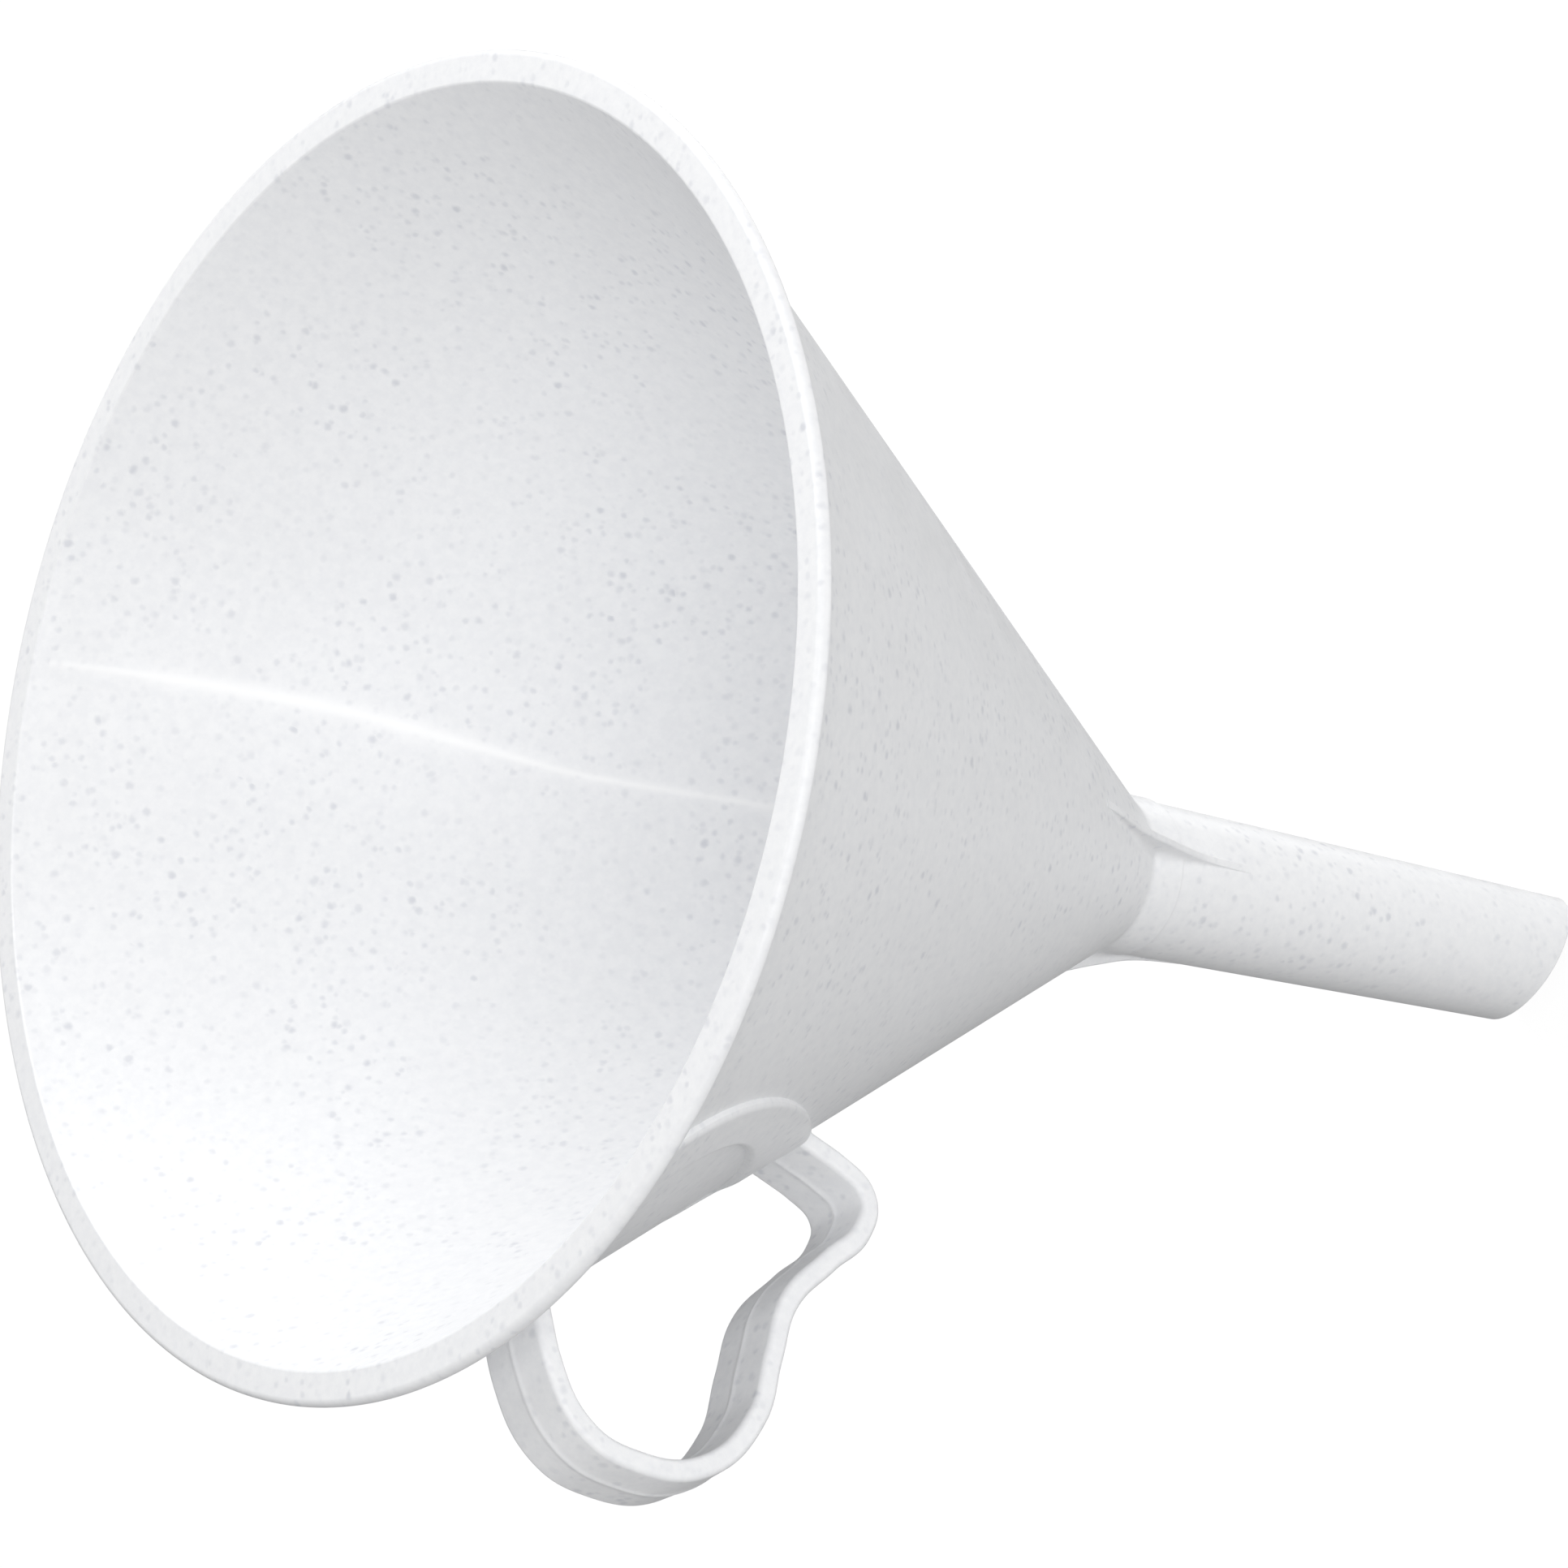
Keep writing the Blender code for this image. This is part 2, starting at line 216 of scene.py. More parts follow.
def flowing(knots, value):
    """Smooth curve through (place, number) pairs, without corners at them."""
    if value <= knots[0][0]:
        return knots[0][1]
    if value >= knots[-1][0]:
        return knots[-1][1]
    index = max(spot for spot, knot in enumerate(knots) if knot[0] <= value)
    slopes = []
    for spot in (index, index + 1):
        before, after = knots[max(spot - 1, 0)], knots[min(spot + 1, len(knots) - 1)]
        slopes.append((after[1] - before[1]) / (after[0] - before[0]))
    (start, low), (end, high) = knots[index], knots[index + 1]
    width = end - start
    share = (value - start) / width
    rest = 1.0 - share
    return (rest * rest * (1.0 + 2.0 * share) * low + share * share * (1.0 + 2.0 * rest) * high
            + share * rest * (rest * slopes[0] - share * slopes[1]) * width)


def polar(radius, angle, height):
    return Vector((radius * math.cos(angle), radius * math.sin(angle), height))


def rounded(corners):
    """Closed outline of corners (x, y, radius), each corner turned into an arc."""
    outline = []
    for index, (x, y, radius) in enumerate(corners):
        here = Vector((x, y))
        if radius == 0.0:
            outline.append(here)
            continue
        back = (Vector(corners[index - 1][:2]) - here).normalized()
        ahead = (Vector(corners[(index + 1) % len(corners)][:2]) - here).normalized()
        half = back.angle(ahead) / 2.0
        centre = here + (back + ahead).normalized() * radius / math.sin(half)
        reach = radius / math.tan(half)
        first, last = here + back * reach - centre, here + ahead * reach - centre
        outline += [centre + first.slerp(last, share).normalized() * radius
                    for share in even(0.0, 1.0, ARC_STEPS)]
    return outline


def smooth_line(points, steps):
    """Catmull-Rom line through points, given as pairs."""
    line = []
    final = len(points) - 1
    for index in range(final):
        a, b, c, d = (Vector(points[min(max(index + k, 0), final)]) for k in (-1, 0, 1, 2))
        for share in even(0.0, 1.0, steps)[:-1]:
            ease, drop = share * share, share * share * share
            line.append((2.0 * b + (c - a) * share + (2.0 * a - 5.0 * b + 4.0 * c - d) * ease
                         + (3.0 * b - a - 3.0 * c + d) * drop) / 2.0)
    line.append(Vector(points[-1]))
    return line


def skin(name, rings, material, node, closed=False):
    """Body through rings of points: a closed row of rings is a torus, an open one gets caps."""
    count = len(rings[0])
    faces = []
    for index in range(len(rings) if closed else len(rings) - 1):
        low, high = index * count, (index + 1) % len(rings) * count
        for spot in range(count):
            after = (spot + 1) % count
            faces.append((low + spot, high + spot, high + after, low + after))
    if not closed:
        faces.append(tuple(range(count)))
        faces.append(tuple(range((len(rings) - 1) * count, len(rings) * count)))
    mesh = bpy.data.meshes.new(name)
    mesh.from_pydata([tuple(point) for ring in rings for point in ring], [], faces)
    shape = bmesh.new()
    shape.from_mesh(mesh)
    bmesh.ops.recalc_face_normals(shape, faces=shape.faces)
    shape.to_mesh(mesh)
    shape.free()
    mesh.shade_smooth()
    mesh.set_sharp_from_angle(angle=SHARP_ABOVE)
    mesh.materials.append(material)
    piece = bpy.data.objects.new(name, mesh)
    bpy.context.scene.collection.objects.link(piece)
    weighted = piece.modifiers.new("even shading", 'WEIGHTED_NORMAL')
    weighted.weight = SHADING_WEIGHT
    weighted.keep_sharp = True
    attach(piece, BODY)
    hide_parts(node)
    return piece


def turned(name, outline, columns, material, node):
    """Turn a closed outline of (radius, height) about the axis."""
    angles = even(0.0, 2.0 * math.pi, columns)[:-1]
    rings = [[polar(radius, angle, height) for radius, height in outline] for angle in angles]
    skin(name, rings, material, node, closed=True)


# ---------------------------------------------------------------- materials

MIX_FIRST, MIX_SECOND, MIX_RESULT = 6, 7, 2   # a Mix node's sockets for colours


class Nodes:
    """Short calls to build a material's node tree."""

    def __init__(self, material):
        self.tree = material.node_tree
        self.place = self.new("ShaderNodeTexCoord").outputs["Object"]

    def new(self, kind, **settings):
        node = self.tree.nodes.new(kind)
        for name, value in settings.items():
            setattr(node, name, value)
        return node

    def link(self, source, target):
        self.tree.links.new(source, target)

    def noise(self, scale, detail, roughness=0.5, output="Fac"):
        node = self.new("ShaderNodeTexNoise")
        self.link(self.place, node.inputs["Vector"])
        node.inputs["Scale"].default_value = scale
        node.inputs["Detail"].default_value = detail
        node.inputs["Roughness"].default_value = roughness
        return node.outputs[output]

    def math(self, operation, first, second):
        node = self.new("ShaderNodeMath", operation=operation)
        for socket, value in zip(node.inputs, (first, second)):
            if isinstance(value, (int, float)):
                socket.default_value = value
            else:
                self.link(value, socket)
        return node.outputs[0]

    def remap(self, value, low, high, to_low, to_high):
        node = self.new("ShaderNodeMapRange", interpolation_type='SMOOTHSTEP')
        self.link(value, node.inputs["Value"])
        for name, number in (("From Min", low), ("From Max", high),
                             ("To Min", to_low), ("To Max", to_high)):
            node.inputs[name].default_value = number
        return node.outputs["Result"]

    def mix(self, share, first, second):
        node = self.new("ShaderNodeMix", data_type='RGBA')
        self.link(share, node.inputs[0])
        for socket, value in ((MIX_FIRST, first), (MIX_SECOND, second)):
            if isinstance(value, tuple):
                node.inputs[socket].default_value = value
            else:
                self.link(value, node.inputs[socket])
        return node.outputs[MIX_RESULT]

    def wavered(self, scale, reach):
        """The object's coordinates, shifted a little by noise."""
        shift = self.new("ShaderNodeVectorMath", operation='MULTIPLY_ADD')
        self.link(self.noise(scale, FLECK_WAVER_DETAIL, output="Color"), shift.inputs[0])
        shift.inputs[1].default_value = (reach, reach, reach)
        self.link(self.place, shift.inputs[2])
        return shift.outputs[0]

    def flecks(self, spacing, radius, share):
        """Uneven spots on a jittered lattice, in a given share of its cells."""
        cells = self.new("ShaderNodeTexVoronoi", feature='F1')
        self.link(self.wavered(FLECK_WAVER / radius, radius), cells.inputs["Vector"])
        cells.inputs["Scale"].default_value = 1.0 / spacing
        apart = self.new("ShaderNodeSeparateColor")
        self.link(cells.outputs["Color"], apart.inputs["Color"])
        core, edge = FLECK_CORE * radius / spacing, radius / spacing
        spot = self.remap(cells.outputs["Distance"], core, edge, 1.0, 0.0)
        chosen = self.math('LESS_THAN', apart.outputs[0], share)
        strength = self.remap(apart.outputs[1], 0.0, 1.0, FLECK_FAINTEST, 1.0)
        return self.math('MULTIPLY', spot, self.math('MULTIPLY', chosen, strength))


WHITE = (0.885, 0.89, 0.90, 1.0)
SOFT_WHITE = (0.845, 0.852, 0.868, 1.0)
FLECK = (0.665, 0.677, 0.715, 1.0)
# Painted highlight colour for the bowl's raised line.
PAINTED_HIGHLIGHT_WHITE = (0.99, 0.99, 0.99, 1.0)
PLASTIC_IOR = 1.49

# Each noise by its scale and detail, and by its roughness where that isn't 0.5.
MOTTLE_NOISE = (520.0, 4.0, 0.7)
MOTTLE_RANGE = (0.32, 0.68)
LARGE_FLECKS = (0.0031, 0.00100, 0.80)   # spacing, radius and share of the cells that hold one
LARGE_STRENGTH = 0.9
SMALL_FLECKS = (0.0020, 0.00078, 0.85)
SMALL_STRENGTH = 0.65
FLECK_CORE = 0.2                         # share of a fleck's radius at its full strength
FLECK_WAVER = 0.6                        # waves per radius that bend a fleck's outline
FLECK_WAVER_DETAIL = 2.0
FLECK_FAINTEST = 0.35
CLUSTER_NOISE = (38.0, 2.0)              # flecks are stronger in some regions than in others
CLUSTER_RANGE = (0.36, 0.60)
CLUSTER_FAINTEST = 0.35
GLOSS_NOISE = (140.0, 4.0)
GLOSS_RANGE = (0.3, 0.7)
GLOSS_BELOW = 0.04                       # how far roughness falls and rises around its mean
GLOSS_ABOVE = 0.06
GRAIN_NOISE = (700.0, 3.0)
GRAIN_STRENGTH = 0.12
GRAIN_DEPTH = 0.0002


def moulded_plastic(name, roughness, highlight_attribute=None):
    """White moulded polyolefin: soft mottling, grey-blue flecks, a faint orange-peel surface and,
    given an attribute, a painted highlight that whitens a line.
    """
    material = bpy.data.materials.new(name)
    material.use_nodes = True
    nodes = Nodes(material)
    shader = material.node_tree.nodes["Principled BSDF"]
    mottle = nodes.remap(nodes.noise(*MOTTLE_NOISE), *MOTTLE_RANGE, 0.0, 1.0)
    colour = nodes.mix(mottle, WHITE, SOFT_WHITE)
    clusters = nodes.remap(nodes.noise(*CLUSTER_NOISE), *CLUSTER_RANGE, CLUSTER_FAINTEST, 1.0)
    large = nodes.math('MULTIPLY', nodes.flecks(*LARGE_FLECKS), LARGE_STRENGTH)
    small = nodes.math('MULTIPLY', nodes.flecks(*SMALL_FLECKS), SMALL_STRENGTH)
    spots = nodes.math('MAXIMUM', large, small)
    colour = nodes.mix(nodes.math('MULTIPLY', spots, clusters), colour, FLECK)
    # Painted highlight: the attribute mixes the colour towards white along the bowl's raised line
    # and its glow.
    if highlight_attribute:
        line = nodes.new("ShaderNodeAttribute", attribute_name=highlight_attribute)
        colour = nodes.mix(line.outputs["Fac"], colour, PAINTED_HIGHLIGHT_WHITE)
    nodes.link(colour, shader.inputs["Base Color"])
    gloss = nodes.remap(nodes.noise(*GLOSS_NOISE), *GLOSS_RANGE,
                        roughness - GLOSS_BELOW, roughness + GLOSS_ABOVE)
    nodes.link(gloss, shader.inputs["Roughness"])
    bump = nodes.new("ShaderNodeBump")
    bump.inputs["Strength"].default_value = GRAIN_STRENGTH
    bump.inputs["Distance"].default_value = GRAIN_DEPTH
    nodes.link(nodes.noise(*GRAIN_NOISE), bump.inputs["Height"])
    nodes.link(bump.outputs["Normal"], shader.inputs["Normal"])
    shader.inputs["IOR"].default_value = PLASTIC_IOR
    return material


# ---------------------------------------------------------------- pieces

def make_mouth_lip(material):
    """Flat lip: rounded outer edge, crisp inner edge and a fillet underneath."""
    root = LIP_BOTTOM - LIP_SKIRT
    outline = rounded([
        (bowl_inside(LIP_TOP), LIP_TOP, LIP_INNER_ROUND),
        (MOUTH_RADIUS, LIP_TOP, LIP_OUTER_ROUND),
        (MOUTH_RADIUS, LIP_BOTTOM, LIP_OUTER_ROUND),
        (bowl_outside(LIP_BOTTOM), LIP_BOTTOM, LIP_FILLET),
        (bowl_outside(root), root, 0.0),
        (bowl_outside(root) - HIDDEN, root, 0.0),
        (bowl_inside(LIP_BOTTOM), LIP_BOTTOM, 0.0),
    ])
    turned("mouth_lip", outline, RING_COLUMNS, material, "mouth_rim")


def witness_azimuth(height):
    return math.radians(flowing(WITNESS_LINE, LIP_TOP - height))


def crest_and_highlight(height, distance):
    """Rise of the raised line, and strength of its painted highlight and glow, at a distance from
    its middle.
    """
    depth = LIP_TOP - height
    width, strength = interpolate(WITNESS_WIDTHS, depth), interpolate(WITNESS_STRENGTHS, depth)
    core = math.exp(-(distance / width) ** 2)
    halo = math.exp(-(distance / (width * HIGHLIGHT_GLOW_SPREAD)) ** 2)
    edge = 1.0 - abs(distance) / WITNESS_BAND
    # Painted highlight: a bright core with a wider painted glow.
    pale = (1.0 - HIGHLIGHT_GLOW_SHARE) * core + HIGHLIGHT_GLOW_SHARE * halo * min(2.0 * edge, 1.0)
    return WITNESS_HEIGHT * strength * core, strength * pale


def make_bowl(material):
    """Conical wall with a fine raised line down its inner face, painted whiter along it as a
    highlight.
    """
    corner_height = (COLLAR_RADIUS - NECK_RADIUS) / BOWL_SLOPE
    neck = rounded([
        (bowl_outside(LIP_BOTTOM), LIP_BOTTOM, 0.0),
        (COLLAR_RADIUS, corner_height, NECK_FILLET),
        (COLLAR_RADIUS, BOWL_FOOT, 0.0),
    ])[1:]
    lengthwise = even(LIP_BOTTOM + HIDDEN, neck[0].y, BOWL_ROWS)[:-1]
    outer = [(bowl_outside(height), height) for height in lengthwise] + [tuple(p) for p in neck]
    heights = [BOWL_FOOT + (LIP_BOTTOM - BOWL_FOOT) * share ** BOWL_ROWS_POWER
               for share in even(0.0, 1.0, BOWL_ROWS)]
    across = even(-WITNESS_BAND, WITNESS_BAND, WITNESS_COLUMNS)
    around = even(0.0, 1.0, BOWL_COLUMNS)[1:-1]
    columns = [(distance, 0.0) for distance in across] + [(WITNESS_BAND, share) for share in around]
    rings, highlight_mask = [], []
    for distance, share in columns:
        ring = []

        def angle_at(height, radius):
            reach = min(WITNESS_BAND / radius, WITNESS_WIDEST)
            start = witness_azimuth(height) + distance * reach / WITNESS_BAND
            return start + (2.0 * math.pi - 2.0 * reach) * share

        for radius, height in outer:
            ring.append(polar(radius, angle_at(height, radius), height))
            highlight_mask.append(0.0)
        for height in heights:
            radius = inner_radius(height)
            crest, pale = crest_and_highlight(height, distance) if share == 0.0 else (0.0, 0.0)
            ring.append(polar(radius - crest, angle_at(height, radius), height))
            highlight_mask.append(pale)
        radius = bowl_inside(LIP_BOTTOM)
        angle = angle_at(LIP_BOTTOM, radius)
        ring.append(polar(radius + HIDDEN, angle, LIP_BOTTOM + HIDDEN))
        highlight_mask.append(0.0)
        rings.append(ring)
    bowl = skin("bowl_wall", rings, material, "cone_bowl", closed=True)
    # Painted highlight: this attribute whitens the crest and a soft glow around it in the bowl's
    # material.
    line = bowl.data.attributes.new("painted_highlight_line", 'FLOAT', 'POINT')
    line.data.foreach_set("value", highlight_mask)


def make_collar(material):
    """Short band around the neck, with a softened lower edge."""
    outline = rounded([
        (COLLAR_RADIUS, COLLAR_TOP, 0.0),
        (COLLAR_RADIUS, COLLAR_BOTTOM, COLLAR_ROUND),
        (stem_outside(COLLAR_BOTTOM) - HIDDEN, COLLAR_BOTTOM, 0.0),
        (stem_outside(COLLAR_BOTTOM) - HIDDEN, COLLAR_TOP, 0.0),
    ])
    turned("neck_band", outline, STEM_COLUMNS, material, "neck_collar")


def tip_height(radius, angle):
    """Height of the bevelled tip's plane."""
    return -STEM_LENGTH - radius * math.tan(TIP_BEVEL) * math.cos(angle - TIP_LONG_SIDE)


def cut_edge(radius, angle, turn):
    """Point on a softened edge of the cut: turn runs from the tube's side down to the cut."""
    return polar(radius, angle, tip_height(radius, angle) + TIP_ROUND * (1.0 - math.sin(turn)))


def make_stem(material):
    """Tapered tube, cut at a bevel, with softened edges at the cut."""
    quarter = even(0.0, math.pi / 2.0, ARC_STEPS)
    rings = []
    for angle in even(0.0, 2.0 * math.pi, STEM_COLUMNS)[:-1]:
        end = tip_height(STEM_TIP_RADIUS, angle)
        outside, inside = stem_outside(end), inner_radius(end)
        outer_end = tip_height(outside, angle) + TIP_ROUND
        inner_end = tip_height(inside, angle) + TIP_ROUND
        ring = [polar(stem_outside(height), angle, height)
                for height in even(BOWL_FOOT, outer_end, STEM_ROWS)[:-1]]
        for turn in quarter:
            ring.append(cut_edge(outside - TIP_ROUND * (1.0 - math.cos(turn)), angle, turn))
        for turn in reversed(quarter):
            ring.append(cut_edge(inside + TIP_ROUND * (1.0 - math.cos(turn)), angle, turn))
        ring += [polar(inner_radius(height), angle, height)
                 for height in even(inner_end, BOWL_FOOT, STEM_ROWS)[1:]]
        rings.append(ring)
    skin("outlet_stem", rings, material, "stem", closed=True)


def make_vane(index, angle, material):
    """Web on the neck: filleted root, rounded free edge, fading out at both ends."""
    half = VANE_THICKNESS / 2.0
    turn = Matrix.Rotation(angle, 4, 'Z')
    rings = []
    for distance, height in smooth_line(VANE_EDGE, VANE_STEPS):
        body = body_radius(height)
        rise = max(distance - body, VANE_LEAST_RISE)
        fillet = min(VANE_FILLET, VANE_FILLET_SHARE * rise)
        bend = min(VANE_ROUND, VANE_ROUND_SHARE * rise)
        foot = half + VANE_FOOT_SHARE * fillet
        section = rounded([
            (-HIDDEN, foot, 0.0), (0.0, foot, 0.0), (0.0, half, fillet), (rise, half, bend),
            (rise, -half, bend), (0.0, -half, fillet), (0.0, -foot, 0.0), (-HIDDEN, -foot, 0.0),
        ])
        ring = [(math.sqrt(body * body - side * side) + out, side, height)
                for out, side in section]
        rings.append([turn @ Vector(point) for point in ring])
    skin("neck_web_" + str(index), rings, material, "neck_vane_" + str(index))


def handle_middle():
    """The handle's middle line, evenly smooth through its points."""
    curve = bpy.data.curves.new("handle_guide", 'CURVE')
    curve.dimensions = '3D'
    curve.resolution_u = HANDLE_STEPS
    spline = curve.splines.new('BEZIER')
    spline.bezier_points.add(len(HANDLE_LINE) - 1)
    for knot, (distance, depth) in zip(spline.bezier_points, HANDLE_LINE):
        knot.co = (distance, 0.0, LIP_MIDDLE - depth)
        knot.handle_left_type = 'AUTO'
        knot.handle_right_type = 'AUTO'
    guide = bpy.data.objects.new("handle_guide", curve)
    bpy.context.scene.collection.objects.link(guide)
    bpy.context.view_layer.update()
    graph = bpy.context.evaluated_depsgraph_get()
    mesh = bpy.data.meshes.new_from_object(guide.evaluated_get(graph))
    line = [vertex.co.copy() for vertex in mesh.vertices]
    bpy.data.meshes.remove(mesh)
    bpy.data.objects.remove(guide, do_unlink=True)
    bpy.data.curves.remove(curve)
    return line


def handle_section():
    """Ribbon's section as (through, across): drafted faces with a fine ridge, rounded edges."""
    half_width = HANDLE_WIDTH / 2.0
    face = []
    for place in [-far for far in reversed(HANDLE_FACE)] + [0.0, *HANDLE_FACE]:
        draft = (HANDLE_THICKNESS - HANDLE_EDGE_THICKNESS) / 2.0 * abs(place) / half_width
        ridge = HANDLE_RIDGE * math.exp(-(place / HANDLE_RIDGE_WIDTH) ** 2)
        face.append((HANDLE_THICKNESS / 2.0 - HANDLE_RIDGE - draft + ridge, place, 0.0))
    edge = HANDLE_EDGE_THICKNESS / 2.0 - HANDLE_RIDGE
    corners = [(edge, -half_width, HANDLE_ROUND)] + face + [(edge, half_width, HANDLE_ROUND)]
    corners += [(-edge, half_width, HANDLE_ROUND)]
    corners += [(-through, across, 0.0) for through, across, _ in reversed(face)]
    corners += [(-edge, -half_width, HANDLE_ROUND)]
    return rounded(corners)


def above_wall(point):
    """How far a point is outside the bowl's outer face, measured level."""
    return math.hypot(point.x, point.y) - bowl_outside(point.z)


def land(point, direction):
    """Slide a point along a direction onto the bowl's outer face."""
    near, far = -LANDING_REACH, LANDING_REACH
    for _ in range(LANDING_STEPS):
        middle = (near + far) / 2.0
        if above_wall(point + direction * middle) > 0.0:
            far = middle
        else:
            near = middle
    return point + direction * (near + far) / 2.0


def make_handle(material):
    """Waved ribbon with filleted roots on the bowl."""
    section = handle_section()
    line = handle_middle()
    frames = []
    for index, middle in enumerate(line):
        along = (line[min(index + 1, len(line) - 1)] - line[max(index - 1, 0)]).normalized()
        frames.append((middle, along, Vector((0.0, 1.0, 0.0)).cross(along)))
    clear = [index for index, (middle, _, _) in enumerate(frames)
             if above_wall(middle) > HANDLE_ROOT_LENGTH + HANDLE_THICKNESS / 2.0]
    first, last = clear[0], clear[-1]

    def flared(middle, through, flare):
        for out, across in section:
            spoke = Vector((out, across)).normalized() * flare
            yield middle + through * (out + spoke.x) + Vector((0.0, across + spoke.y, 0.0))

    def root(frame_index, outwards, fillet):
        """Rings from inside the wall up to the clear part of the ribbon."""
        middle, along, through = frames[frame_index]
        direction = along * outwards
        plain = list(flared(middle, through, 0.0))
        rings = []
        for share in even(0.0, 1.0, ROOT_STEPS):
            level = fillet * share
            flare = fillet * (1.0 - math.sqrt(1.0 - (1.0 - share) ** 2))
            ring = []
            for start, wide in zip(plain, flared(middle, through, flare)):
                foot = land(wide, direction)
                length = (start - land(start, direction)).length
                ring.append(foot + direction * min(level, HANDLE_FILLET_SHARE * length))
            rings.append(ring)
        sunk = [point - direction * HIDDEN for point in rings[0]]
        return [sunk] + rings

    rings = root(first, 1.0, HANDLE_FILLET)
    for middle, _, through in frames[first:last + 1]:
        rings.append(list(flared(middle, through, 0.0)))
    rings += reversed(root(last, -1.0, HANDLE_LOW_FILLET))
    skin("handle_ribbon", rings, material, "handle_band")


def arch(shape, share):
    """Point of an arch as (side, depth): share runs from -1 at one end over 0 at its tip to 1."""
    half_width, length, roundness = shape
    depth = max(length * math.sin(math.pi / 2.0 * (1.0 - abs(share))), SADDLE_TOP)
    half = half_width * (1.0 - (depth / length) ** roundness) ** SADDLE_END_ROUNDING
    return math.copysign(half, share), depth


def on_bowl(side, depth, rise):
    """Point over the bowl's outer face: side is its Y, depth is below the lip, rise is outwards."""
    height = LIP_MIDDLE - depth
    radius = bowl_outside(height)
    angle = math.asin(side / radius)
    out = Vector((math.cos(angle) * math.cos(BOWL_LEAN), math.sin(angle) * math.cos(BOWL_LEAN),
                  -math.sin(BOWL_LEAN)))
    return polar(radius, angle, height) + out * rise


def make_saddle(material):
    """Horseshoe pad on the bowl: rounded outer edge, inner edge fading out at the middle."""
    rings = []
    for share in even(-1.0, 1.0, PAD_STEPS_ALONG):
        outer, inner = arch(SADDLE_OUTER, share), arch(SADDLE_INNER, share)
        width = math.dist(outer, inner)
        fade = eased(min(abs(inner[0]) / SADDLE_FADE_WIDTH, 1.0))
        low = SADDLE_FADED + (SADDLE_THICKNESS - SADDLE_FADED) * fade

        def pad_point(place, rise):
            side, depth = (start + (end - start) * place for start, end in zip(outer, inner))
            return on_bowl(side, depth, rise)

        ring = []
        for place in even(0.0, 1.0, PAD_STEPS_ACROSS):
            height = SADDLE_THICKNESS + (low - SADDLE_THICKNESS) * eased(place)
            inset = min(min(place, 1.0 - place) * width / SADDLE_ROUND, 1.0)
            ring.append(pad_point(place, height * math.sqrt(1.0 - (1.0 - inset) ** 2)))
        ring += [pad_point(place, -HIDDEN) for place in even(1.0, 0.0, PAD_STEPS_UNDER)]
        rings.append(ring)
    skin("handle_pad", rings, material, "handle_saddle")


FLOOR_GLOW = 0.93            # keeps the floor near white where the funnel shades it
FLOOR_PAINT = (0.12, 0.12, 0.12, 1.0)
BACKDROP_GLOW = 1.0
BACKDROP_PAINT = (0.0, 0.0, 0.0, 1.0)
STAGE_RADIUS = 4.0
FLOOR_SIDES = 96
DOME_COLUMNS = 64
DOME_ROWS = 32


def make_stage_piece(name, build, paint, glow):
    """Plain pale surface that only the camera sees: lamps stand for the light it throws back."""
    mesh = bpy.data.meshes.new(name)
    shape = bmesh.new()
    build(shape)
    shape.to_mesh(mesh)
    shape.free()
    mesh.shade_smooth()
    piece = bpy.data.objects.new(name, mesh)
    bpy.context.scene.collection.objects.link(piece)
    material = bpy.data.materials.new(name + "_white")
    material.use_nodes = True
    shader = material.node_tree.nodes["Principled BSDF"]
    shader.inputs["Base Color"].default_value = paint
    shader.inputs["Roughness"].default_value = 1.0
    shader.inputs["Specular IOR Level"].default_value = 0.0
    shader.inputs["Emission Color"].default_value = (1.0, 1.0, 1.0, 1.0)
    shader.inputs["Emission Strength"].default_value = glow
    mesh.materials.append(material)
    for kind in ("diffuse", "glossy", "transmission", "shadow"):
        setattr(piece, "visible_" + kind, False)
    return piece


def make_stage():
    """Round floor under the stem's tip, and a pale dome around it."""
    def disc(shape):
        bmesh.ops.create_circle(shape, cap_ends=True, segments=FLOOR_SIDES, radius=STAGE_RADIUS)

    def dome(shape):
        bmesh.ops.create_uvsphere(
            shape, u_segments=DOME_COLUMNS, v_segments=DOME_ROWS, radius=STAGE_RADIUS)

    floor = make_stage_piece("floor", disc, FLOOR_PAINT, FLOOR_GLOW)
    floor.location = (0.0, 0.0, FLOOR_HEIGHT)
    make_stage_piece("backdrop", dome, BACKDROP_PAINT, BACKDROP_GLOW)


# ---------------------------------------------------------------- camera and light

CAMERA_AZIMUTH = math.radians(60.0)
CAMERA_ELEVATION = math.radians(39.10)
CAMERA_ROLL = math.radians(78.16)
CAMERA_DISTANCE = 0.9008
CAMERA_AIM = Vector((-0.00272, 0.00157, 0.06798))
CAMERA_LENS = 134.16         # in millimetres
CAMERA_SENSOR = 36.0
CAMERA_CLIP = (0.01, 20.0)


def seen_from(azimuth, elevation):
    """Directions back, level and up of something that looks at the funnel from a given side."""
    back = Vector((math.cos(azimuth) * math.cos(elevation), math.sin(azimuth) * math.cos(elevation),
                   math.sin(elevation)))
    level = Vector((-math.sin(azimuth), math.cos(azimuth), 0.0))
    return back, level, back.cross(level)


def aim(thing, place, right, up, back):
    """Put a camera or lamp in its place, looking away from back."""
    thing.matrix_world = Matrix.Translation(place) @ Matrix((right, up, back)).transposed().to_4x4()


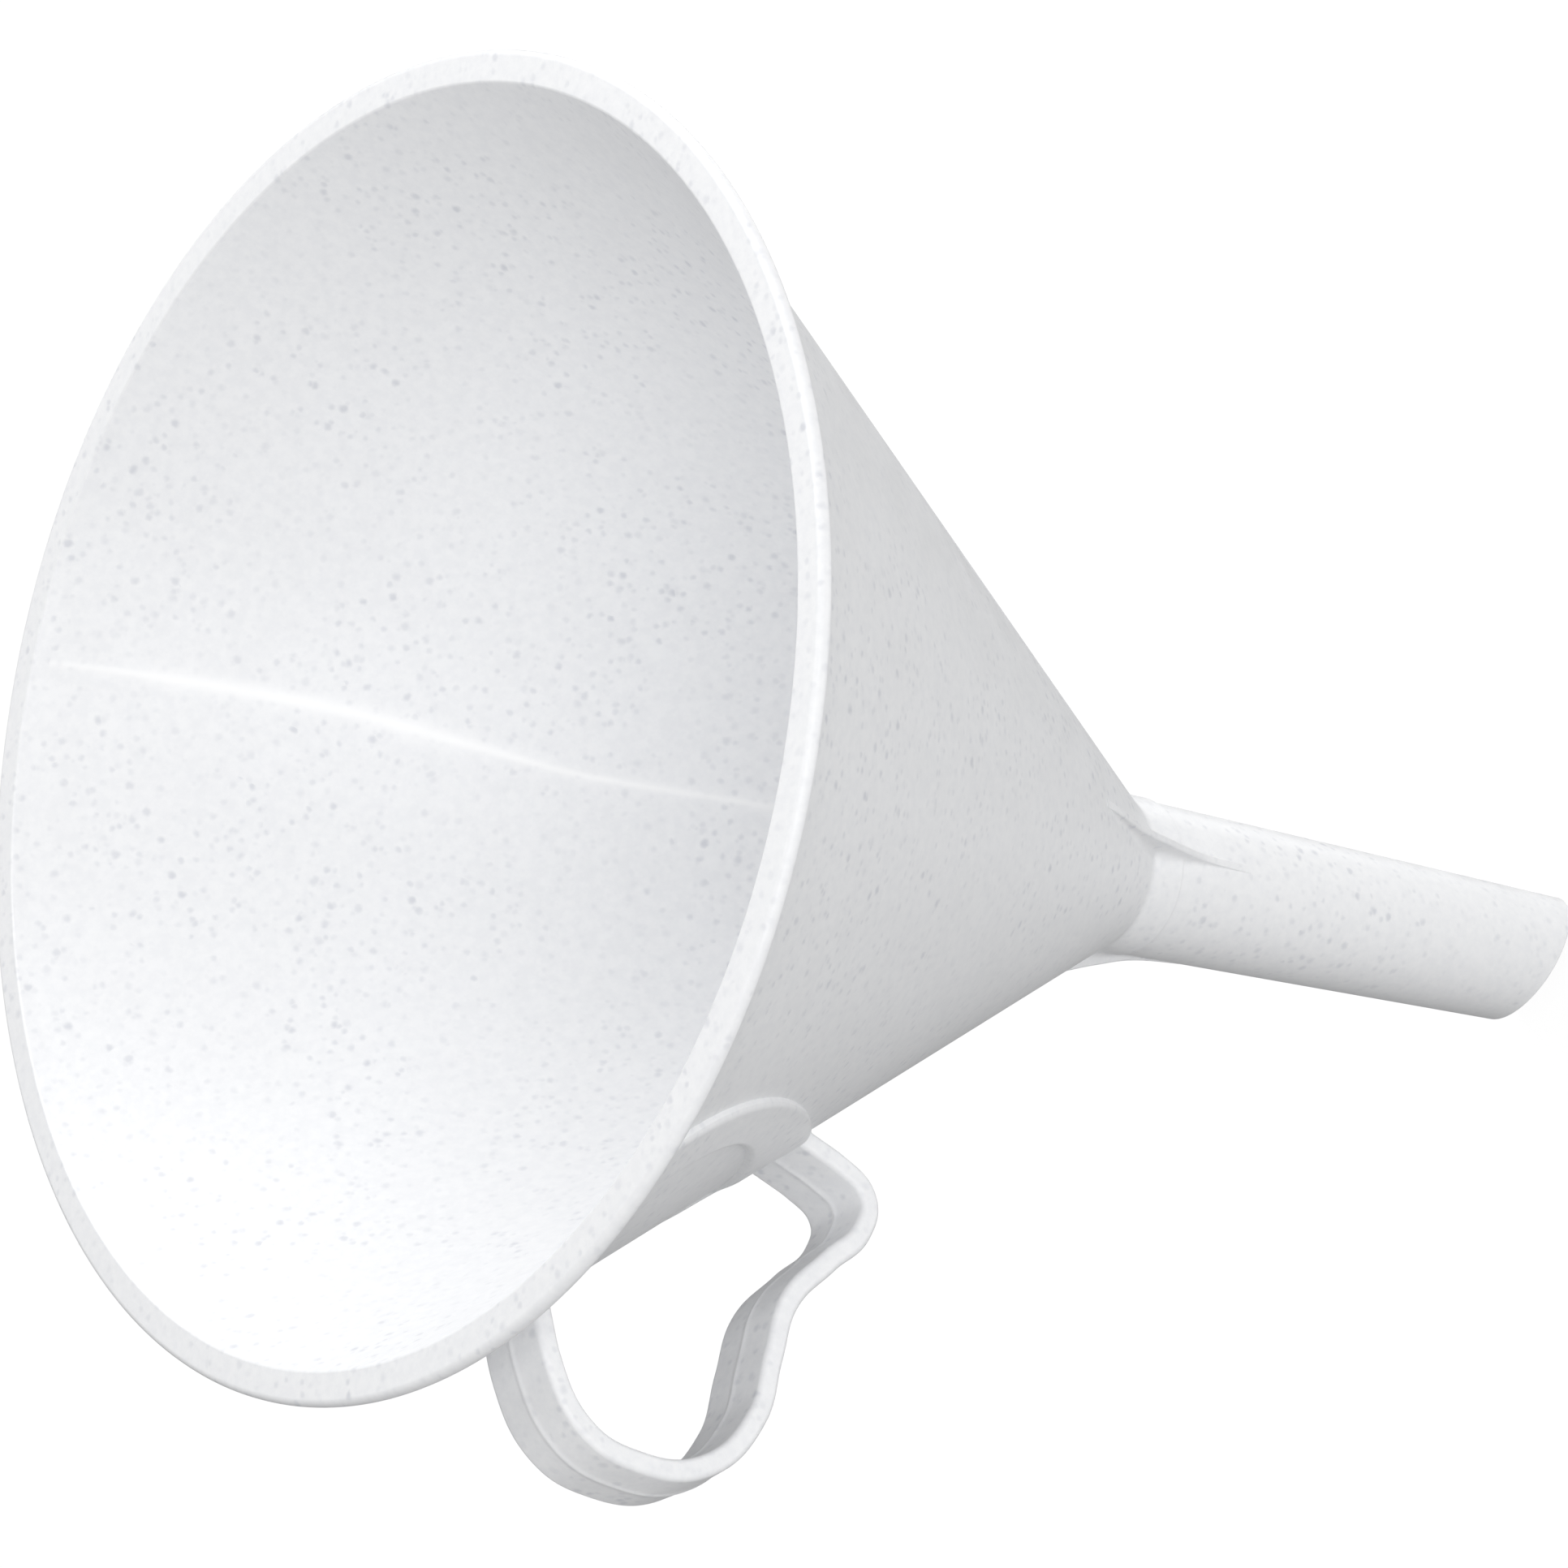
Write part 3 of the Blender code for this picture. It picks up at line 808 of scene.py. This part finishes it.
def make_camera():
    """Looks down into the mouth from the side, rolled so that the stem points to the right."""
    back, level, upright = seen_from(CAMERA_AZIMUTH, CAMERA_ELEVATION)
    right = math.cos(CAMERA_ROLL) * level - math.sin(CAMERA_ROLL) * upright
    up = math.sin(CAMERA_ROLL) * level + math.cos(CAMERA_ROLL) * upright
    data = bpy.data.cameras.new("camera")
    data.lens = CAMERA_LENS
    data.sensor_width = CAMERA_SENSOR
    data.clip_start, data.clip_end = CAMERA_CLIP
    camera = bpy.data.objects.new("camera", data)
    bpy.context.scene.collection.objects.link(camera)
    aim(camera, CAMERA_AIM + back * CAMERA_DISTANCE, right, up, back)
    bpy.context.scene.camera = camera


# Large soft round lamps around the object: name, azimuth, elevation and power in watts.
LAMPS = [
    ("key_low", 180.0, 20.0, 6.7),
    ("key_high", 180.0, 55.0, 5.8),
    ("front", 60.0, 40.0, 6.0),
    ("front_low", 60.0, 0.0, 2.6),
    ("side_high", 0.0, 40.0, 1.6),
    ("bounce_front", 90.0, -30.0, 2.7),
    ("bounce_back", 180.0, -30.0, 2.6),
    ("bounce_left", 130.0, -40.0, 1.9),
]
LAMP_DISTANCE = 1.2
LAMP_SIZE = 0.9
AMBIENT = 0.30


def make_lamps():
    """The lamps below the floor stand for light that a white table throws back."""
    for name, azimuth, elevation, power in LAMPS:
        data = bpy.data.lights.new(name, 'AREA')
        data.shape = 'DISK'
        data.size = LAMP_SIZE
        data.energy = power
        lamp = bpy.data.objects.new(name, data)
        lamp.visible_camera = False
        bpy.context.scene.collection.objects.link(lamp)
        back, level, upright = seen_from(math.radians(azimuth), math.radians(elevation))
        aim(lamp, CAMERA_AIM + back * LAMP_DISTANCE, level, upright, back)
    world = bpy.data.worlds.new("studio")
    world.use_nodes = True
    background = world.node_tree.nodes["Background"]
    background.inputs["Color"].default_value = (1.0, 1.0, 1.0, 1.0)
    background.inputs["Strength"].default_value = AMBIENT
    bpy.context.scene.world = world


BOWL_ROUGHNESS = 0.40
LIP_ROUGHNESS = 0.36
STEM_ROUGHNESS = 0.36
HANDLE_ROUGHNESS = 0.38


def main():
    body = moulded_plastic("bowl_plastic", BOWL_ROUGHNESS, "painted_highlight_line")
    lip = moulded_plastic("lip_plastic", LIP_ROUGHNESS)
    tube = moulded_plastic("stem_plastic", STEM_ROUGHNESS)
    grip = moulded_plastic("handle_plastic", HANDLE_ROUGHNESS)
    make_bowl(body)
    make_mouth_lip(lip)
    make_collar(tube)
    make_stem(tube)
    for index, angle in enumerate(VANE_ANGLES, start=1):
        make_vane(index, angle, tube)
    make_handle(grip)
    make_saddle(grip)
    make_stage()
    make_camera()
    make_lamps()
    bpy.context.scene.view_settings.view_transform = 'Standard'


main()
